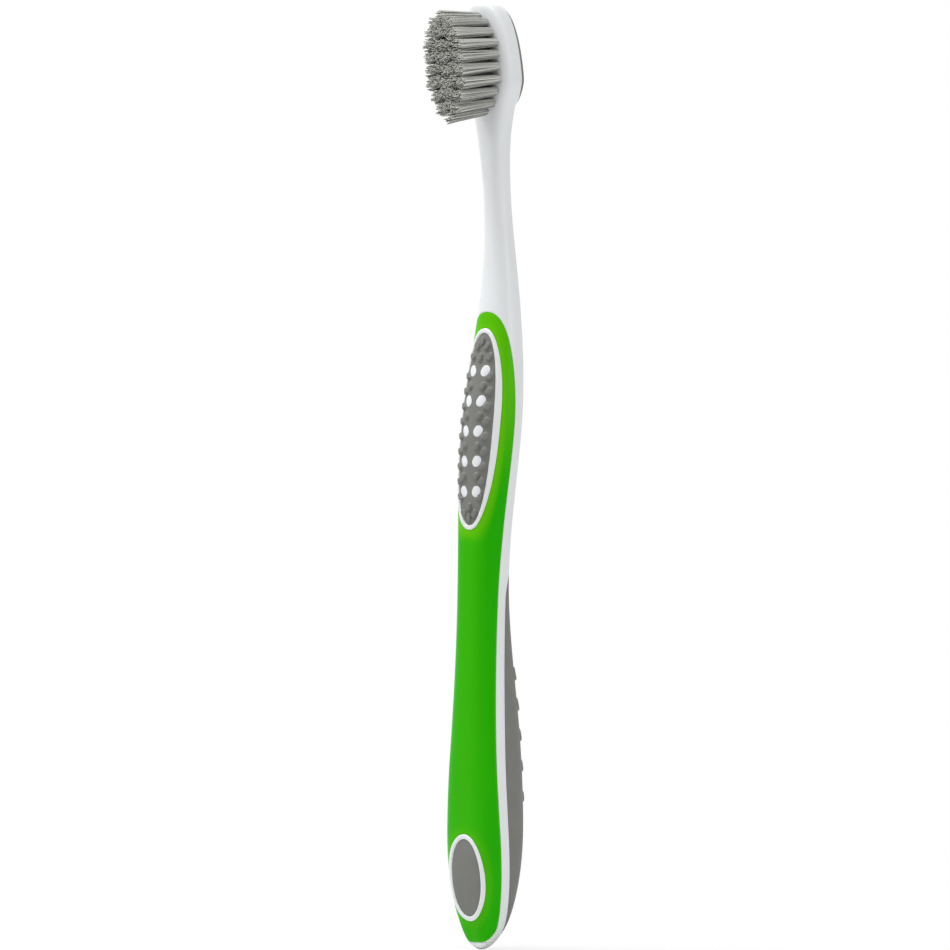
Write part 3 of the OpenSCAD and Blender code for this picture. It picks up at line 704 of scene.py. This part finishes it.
def oval_grid(oval, rows, columns, pull):
    """Points (x, z) inside an oval: rows at z0 - b cos(t), and columns that crowd at both edges. Also
    their angles round the form and their distances to the oval's edge."""
    z = (oval["mid"] + oval["length"] / 2 * -np.cos(np.linspace(0.0, np.pi, rows)))[:, None]
    x = oval_half(z, oval) * (2 * crowded(columns, pull) - 1)
    angle = angle_of_side(x, z)
    return x, z, angle, distance_to(oval_level, angle, z, oval)


def rubber_skin(name, points, node, depth=SKIN):
    """A sheet of grey rubber with its thickness inwards, in place of a CAD node."""
    faces = grid_faces(*points.shape[:2])
    thicken(piece(name, points, faces, grey_rubber, "grey_rubber", [node], closed=False), depth)


pad_x, pad_z, pad_a, pad_edge = oval_grid(THUMB_OVAL, 400, 72, 0.6)
pad_out = stud_height(pad_x, pad_z) * ease(pad_edge / STUD_MARGIN) - rounded(pad_edge, EDGE_R)
rubber_skin("thumb_pad_studded", on_form(pad_a, pad_z, pad_out), "thumb_pad")
end_x, end_z, end_a, end_edge = oval_grid(END_OVAL, 90, 48, 0.85)
end_share = np.clip(1.0 + oval_level(end_a, end_z, END_OVAL), 0, 1)
end_out = DOME * (1 - end_share ** 2) - rounded(end_edge, EDGE_R)
rubber_skin("end_pad_domed", on_form(end_a, end_z, end_out), "end_pad")

# %% [markdown]
# ## The back grip
# The grip covers the back from strip to strip and turns to a rounded end at its top. Five bumps keep the
# hand from sliding: each is a wedge that rises downwards and drops off in a step. They could be sculpted,
# but a height field over the same sheet keeps them even and the sheet in one piece.

# %% Back grip
# The lowest bump's foot, the pitch, and a bump's length, width and height.
BUMP_AT, BUMP_PITCH, BUMP_LEN, BUMP_W, BUMP_H = 29.2, 6.15, 3.2, 10.2, 0.45
# The share of its height that a bump loses to its top, and the share of its half length that its edge takes.
BUMP_FALL, BUMP_EDGE = 0.6, 0.3
# The rows of points lie close from a little below the lowest bump to a little above the highest.
BUMPS_LOW, BUMPS_HIGH = BUMP_AT - 1.0, BUMP_AT + 5 * BUMP_PITCH - 2.0


def bump_height(x, z):
    """h (1 - 0.6 (z - z0) / l) inside a stadium of the bump's length and width, eased off at its edge."""
    height = 0.0 * (x + z)
    for foot in BUMP_AT + BUMP_PITCH * np.arange(5):
        past = np.maximum(np.abs(x) - (BUMP_W - BUMP_LEN) / 2, 0.0)
        inside = 1.0 - np.hypot(past, z - foot - BUMP_LEN / 2) / (BUMP_LEN / 2)
        wedge = 1.0 - BUMP_FALL * np.clip((z - foot) / BUMP_LEN, 0.0, 1.0)
        height = np.maximum(height, BUMP_H * wedge * ease(inside / BUMP_EDGE))
    return height


grip_z = heights([GRIP_LOW, FOOT_Z, BUMPS_LOW, BUMPS_HIGH, GRIP_TOP], [14, 40, 10, 40])
bump_rows = np.linspace(BUMPS_LOW, BUMPS_HIGH, 240)[1:-1]
grip_z = np.unique(np.concatenate([grip_z, bump_rows]))[:, None]
edge_a = angle_of_forward(grip_line(grip_z), grip_z)
round_a = edge_a + 2 * (np.pi - edge_a) * crowded(84, 0.8)
grip_x = reach(round_a, grip_z) * np.sin(round_a)
grip_drop = np.maximum(rounded(distance_to(line_level, round_a, grip_z, grip_line), EDGE_R),
                       rounded(distance_to(line_level, 2 * np.pi - round_a, grip_z, grip_line), EDGE_R))
grip_out = bump_height(grip_x, grip_z) - grip_drop
rubber_skin("back_grip_bumped", on_form(round_a, grip_z, grip_out), "back_grip")

# %% [markdown]
# ## The tongue cleaner
# A thin rubber layer on the back of the head, with nine low ribs across it. Separate ribs would need to be
# joined to the layer, so they are a height on it, raised straight out of the tilted head.

# %% Tongue cleaner
# The middle rib's height, the pitch, a rib's height and thickness, and how far it ends inside the head.
RIB_MID, RIB_PITCH, RIB_H, RIB_T, RIB_INSET = SHOULDER_Z + 3.3, 1.6, 0.3, 0.6, 1.6
# A rib is full up to RIB_FLAT of its half thickness and gone RIB_FALL further. Rows lie close over all ribs.
RIB_FLAT, RIB_FALL = 0.3, 0.8
RIBS_LOW, RIBS_HIGH = 170.0, 184.5

scraper_z = heights([CLEANER_LOW, SHOULDER_Z, CLEANER_HIGH], [10, 90])
scraper_z = np.unique(np.concatenate([scraper_z, np.linspace(RIBS_LOW, RIBS_HIGH, 150)]))[:, None]
edge_a = angle_of_forward(cleaner_line(scraper_z), scraper_z)
scraper = on_form(edge_a + 2 * (np.pi - edge_a) * crowded(80, 0.5), scraper_z)
rib_h = np.zeros(scraper.shape[:2])
for rib_at in RIB_MID + RIB_PITCH * (np.arange(9) - 4):
    rib_half = half_width(np.array([rib_at])) - RIB_INSET - RIB_T / 2
    past = np.maximum(np.abs(scraper[..., 0]) - rib_half, 0.0)
    rib_share = np.hypot(past, scraper_z - rib_at) / (RIB_T / 2)
    rib_h = np.maximum(rib_h, RIB_H * (1 - ease((rib_share - RIB_FLAT) / RIB_FALL)))
scraper = scraper + rib_h[..., None] * [0.0, np.cos(HEAD_TILT), np.sin(HEAD_TILT)]
# The sheet is thicker than its place in the core by this overlap, so that no light comes in between.
OVERLAP = 0.02
rubber_skin("tongue_cleaner_ribbed", scraper, "tongue_cleaner", CLEANER_T + OVERLAP)

# %% [markdown]
# ## The bristles
# Each tuft is a bundle of nylon filaments, folded in half and pressed into its hole, so its strands stand
# close at the foot and spread towards the tips, where they lean together in small wisps. A hair system
# could grow them, but then the strands wouldn't be a mesh. A tuft's strands are set out like the seeds of
# a sunflower, and a whole row is one array: tuft, strand, ring and side.

# %% Rows of tufts
# The tufts of each row from the head's tip down, and the pitch of rows and of tufts. Rows crowd a little
# at both ends, and the first lies ROW_EDGE below the tip.
ROW_TUFTS = [1, 3, 4, 5, 5, 5, 5, 4, 3, 1]
ROW_PITCH, TUFT_PITCH, ROW_CROWD, ROW_EDGE = 2.45, 2.15, 0.005, 2.4
LAST_ROW = len(ROW_TUFTS) - 1
MID_ROW = LAST_ROW / 2
# Every second tuft in from a side sits higher by STAGGER, the middle rows by up to RISE, and the single
# tufts at the ends stand nearer to the others by END_SHIFT.
STAGGER, RISE, END_SHIFT = 0.6, 0.55, 0.42
# The radius and the length of a tuft.
TUFT_R, TUFT_LEN = 0.77, 10.75


def row_step(k):
    """k p (1 - c k^2), the place of the row that lies k rows above the middle."""
    return k * ROW_PITCH * (1 - ROW_CROWD * k * k)


def row_height(row):
    """tip - edge - s(4.5) + s(4.5 - i) + r sin(pi i / 9), where s is the row's step."""
    return (TIP_Z - ROW_EDGE - row_step(MID_ROW) + row_step(MID_ROW - row)
            + RISE * np.sin(np.pi * row / LAST_ROW))


def tuft_feet(row):
    """The middle of each tuft's foot on the head's front, and how many tufts it stands in from the side."""
    tufts = ROW_TUFTS[row]
    column = np.arange(tufts)
    from_side = np.minimum(column, tufts - 1 - column)
    z = row_height(row) + STAGGER * (from_side % 2) + END_SHIFT * np.sign(row - MID_ROW) * (tufts == 1)
    x = (column - (tufts - 1) / 2) * TUFT_PITCH
    return np.stack([x, -head_middle(z) - HEAD_T / 2, z], -1)[:, None], from_side


print("row heights:", [round(float(row_height(row)), 2) for row in range(len(ROW_TUFTS))])

# %% Lean, wisps and tones
# Degrees: the lean towards the tip of the first and the last row, and the spread for each mm off the middle.
LEAN_FIRST, LEAN_LAST, SPLAY = 4.3, -1.6, 3.6
# The size in mm at the foot of the cell whose strands make one wisp, and how far they close up, from 0 to 1.
CLUMP, GATHER = 0.55, 0.5
# Tones: their mean, how much strands and whole tufts vary, and how much painted shade darkens a tuft
# underneath, where the light from above doesn't reach.
TONE, TONE_BY_STRAND, TONE_BY_TUFT, SHADE_BELOW = 0.74, 0.08, 0.04, 0.42
# Painted light and shade on each ring: the painted highlight it gains towards the tip, and the painted shade
# that darkens it down among the inner tufts, where less light comes in.
TIP_LIGHT = np.array([0.0, 0.0, 0.0, 0.1, 0.18, 0.18])
DEEP_SHADE = 0.6 * np.array([1.0, 1.0, 0.6, 0.0, 0.0, 0.0])
noise = np.random.RandomState(7)


def wisps(spot):
    """The angles (centre of the cell - place) / length that turn strands to their wisp, as complex numbers.
    The cells are a square grid, turned and shifted by chance in each tuft."""
    tufts = len(spot)
    cells = np.exp(1j * noise.uniform(0.0, 2 * np.pi, (tufts, 1))) / CLUMP
    shift = noise.uniform(-0.5, 0.5, (tufts, 1)) + 1j * noise.uniform(-0.5, 0.5, (tufts, 1))
    return GATHER * ((np.round(spot * cells + shift) - shift) / cells - spot) / TUFT_LEN


def strand_tones(spot, inner):
    """A tone for each ring: a draw for the strand and one for its tuft, with painted shade underneath, then a
    painted highlight towards the tip and painted shade among the inner tufts.
    """
    # Painted shade: strands on a tuft's underside are darker, as light from above doesn't reach them.
    below = ease((-spot.imag / TUFT_R - 0.1) / 0.8)
    by_strand = noise.normal(TONE, TONE_BY_STRAND, spot.shape)
    tone = by_strand + noise.normal(0.0, TONE_BY_TUFT, (len(spot), 1)) - SHADE_BELOW * below
    # Painted highlight towards the tips, and painted shade down among the inner tufts.
    return np.clip(tone[..., None] + TIP_LIGHT - inner[:, None, None] * DEEP_SHADE, 0.0, 1.0)


# %% Strands
STRANDS, STRAND_R, SIDES, SUNFLOWER = 60, 0.115, 5, np.radians(137.5)
# A strand's rings: shares of its length, shifts in mm and shares of its radius. Its foot is sunk in the
# head, it bulks out to its full radius at once, and its tip is rounded.
RING_SHARE = np.array([0.0, 0.0, 0.55, 1.0, 1.0, 1.0])
RING_SHIFT = np.array([-0.4, -0.4, 0.0, -0.12, 0.0, 0.0])
RING_R = STRAND_R * np.array([0.0, 1.0, 1.0, 1.0, 0.6, 0.0])[:, None, None]
# How uneven the strands are: mm and radians at the foot, degrees of lean, and mm of length.
UNEVEN_R, UNEVEN_A, UNEVEN_LEAN, SHORTER, LONGER = 0.03, 0.1, 0.35, -0.35, 0.25
# The head's own axes: up along it, out of its front and sideways.
FACE_UP = np.array([0.0, -np.sin(HEAD_TILT), np.cos(HEAD_TILT)])
FACE_OUT = np.array([0.0, -np.cos(HEAD_TILT), -np.sin(HEAD_TILT)])
SIDEWAYS = np.array([1.0, 0.0, 0.0])
turn = np.linspace(0.0, 2 * np.pi, SIDES, endpoint=False)[:, None]
disc = np.cos(turn) * SIDEWAYS + np.sin(turn) * FACE_UP


def strands(row):
    """Points root + s along + r (cos t sideways + sin t up) of a row's strands, and their tones. The k-th
    strand of a tuft starts at the radius R sqrt(k / n) and the angle 137.5 k degrees."""
    feet, from_side = tuft_feet(row)
    shape = (len(feet), STRANDS)
    k = np.arange(STRANDS) + 0.5
    r = TUFT_R * np.sqrt(k / STRANDS) + noise.uniform(-UNEVEN_R, UNEVEN_R, shape)
    spot = r * np.exp(1j * (SUNFLOWER * k + noise.uniform(-UNEVEN_A, UNEVEN_A, shape)))
    gather = wisps(spot)
    lean = LEAN_FIRST + (LEAN_LAST - LEAN_FIRST) * row / LAST_ROW
    up = np.radians(lean + SPLAY * spot.imag + noise.normal(0.0, UNEVEN_LEAN, shape)) + gather.imag
    side = np.radians(SPLAY * spot.real + noise.normal(0.0, UNEVEN_LEAN, shape)) + gather.real
    up, side = up[..., None], side[..., None]
    along = np.cos(up) * np.sin(side) * SIDEWAYS + np.sin(up) * FACE_UP + np.cos(up) * np.cos(side) * FACE_OUT
    root = feet + spot.real[..., None] * SIDEWAYS + spot.imag[..., None] * FACE_UP
    length = TUFT_LEN + noise.uniform(SHORTER, LONGER, shape)
    ring_s = (RING_SHARE * length[..., None] + RING_SHIFT)[..., None, None]
    points = root[:, :, None, None] + ring_s * along[:, :, None, None] + RING_R * disc
    tone = strand_tones(spot, from_side > 0)
    return points, np.broadcast_to(tone[..., None], points.shape[:-1])


for row, tufts in enumerate(ROW_TUFTS):
    points, tone = strands(row)
    rings = points.shape[2]
    faces = copies(grid_faces(rings, SIDES, wrap=True), tufts * STRANDS, rings * SIDES)
    node = f"tuft_row_{row + 1:02d}"
    piece(f"{node}_strands", points, faces, grey_nylon, "grey_bristle", [node], tone=tone, weld=False)

# %% [markdown]
# ## The studio
# A product picture is taken on white paper between large softboxes. More light on the paper would make it
# white, but would bleach the brush as well. Instead, rays from the camera and rays in reflections see the
# surround as plain white, and the paper shows only the brush's soft shadow and fades to white around it.

# %% Floor
# Half of the floor's side. The camera sees a mix of lit paper and plain white, whose share rises from
# FADE_FROM at FADE_START to 1 at FADE_END. All lengths here are metres.
FLOOR_HALF, FADE_START, FADE_END, FADE_FROM = 1.5, 0.03, 0.35, 0.82
WHITE = (1, 1, 1, 1)

floor_mesh = bpy.data.meshes.new("floor")
corners = [(x * FLOOR_HALF, y * FLOOR_HALF, 0) for x, y in ((-1, -1), (1, -1), (1, 1), (-1, 1))]
floor_mesh.from_pydata(corners, [], [(0, 1, 2, 3)])
floor = bpy.data.objects.new("floor", floor_mesh)
bpy.context.scene.collection.objects.link(floor)
floor_paper = blank(bpy.data.materials.new("paper_matt_white"))
matt = add(floor_paper, "ShaderNodeBsdfDiffuse", {"Color": linear("#FAFAFA")})
glow = add(floor_paper, "ShaderNodeEmission", {"Color": WHITE, "Strength": 1.0})
seen = add(floor_paper, "ShaderNodeLightPath", {})
place = add(floor_paper, "ShaderNodeTexCoord", {})
far = add(floor_paper, "ShaderNodeVectorMath", {0: place.outputs["Object"]}, operation="LENGTH")
fade = add(floor_paper, "ShaderNodeMapRange",
           {"Value": far.outputs["Value"], "From Min": FADE_START, "From Max": FADE_END,
            "To Min": FADE_FROM, "To Max": 1.0}, interpolation_type="SMOOTHSTEP")
share = add(floor_paper, "ShaderNodeMath", {0: seen.outputs["Is Camera Ray"], 1: fade.outputs["Result"]},
            operation="MULTIPLY")
paper = add(floor_paper, "ShaderNodeMixShader", {0: share.outputs[0], 1: matt.outputs[0], 2: glow.outputs[0]})
add(floor_paper, "ShaderNodeOutputMaterial", {"Surface": paper.outputs[0]})
floor_mesh.materials.append(floor_paper)

# %% Surround
# How strongly the white surround lights the brush.
FILL = 0.18

world = blank(bpy.data.worlds.new("surround"))
bpy.context.scene.world = world
path = add(world, "ShaderNodeLightPath", {})
direct = add(world, "ShaderNodeMath", {0: path.outputs["Is Camera Ray"], 1: path.outputs["Is Glossy Ray"]},
             operation="MAXIMUM")
clear = add(world, "ShaderNodeMath", {0: direct.outputs[0], 1: path.outputs["Is Transmission Ray"]},
            operation="MAXIMUM")
fill = add(world, "ShaderNodeBackground", {"Color": WHITE, "Strength": FILL})
backdrop = add(world, "ShaderNodeBackground", {"Color": WHITE, "Strength": 1.0})
either = add(world, "ShaderNodeMixShader", {0: clear.outputs[0], 1: fill.outputs[0], 2: backdrop.outputs[0]})
add(world, "ShaderNodeOutputWorld", {"Surface": either.outputs[0]})

# %% Softboxes
# Name, place, the point it faces, width, height, all in mm, and power in watts. The large one overhead gives
# the form, the right one lifts the shaded side, and the left one brightens the bristles and the green front.
SOFTBOXES = [("top_softbox", (0, -350, 1200), (0, 0, 120), 900, 700, 7.8),
             ("right_softbox", (900, 250, 600), (0, 0, 100), 500, 900, 3.1),
             ("left_softbox", (-650, -520, 1150), (0, 0, 100), 700, 600, 11.0)]

for name, place, aim, width, height, power in SOFTBOXES:
    data = bpy.data.lights.new(name, "AREA")
    data.shape = "RECTANGLE"
    data.size, data.size_y, data.energy = width * MM, height * MM, power
    lamp = bpy.data.objects.new(name, data)
    bpy.context.scene.collection.objects.link(lamp)
    lamp.location = Vector(place) * MM
    lamp.rotation_euler = (Vector(place) - Vector(aim)).to_track_quat("Z", "Y").to_euler()
bpy.context.scene.view_settings.view_transform = "Standard"
print("lamps:", len(SOFTBOXES))
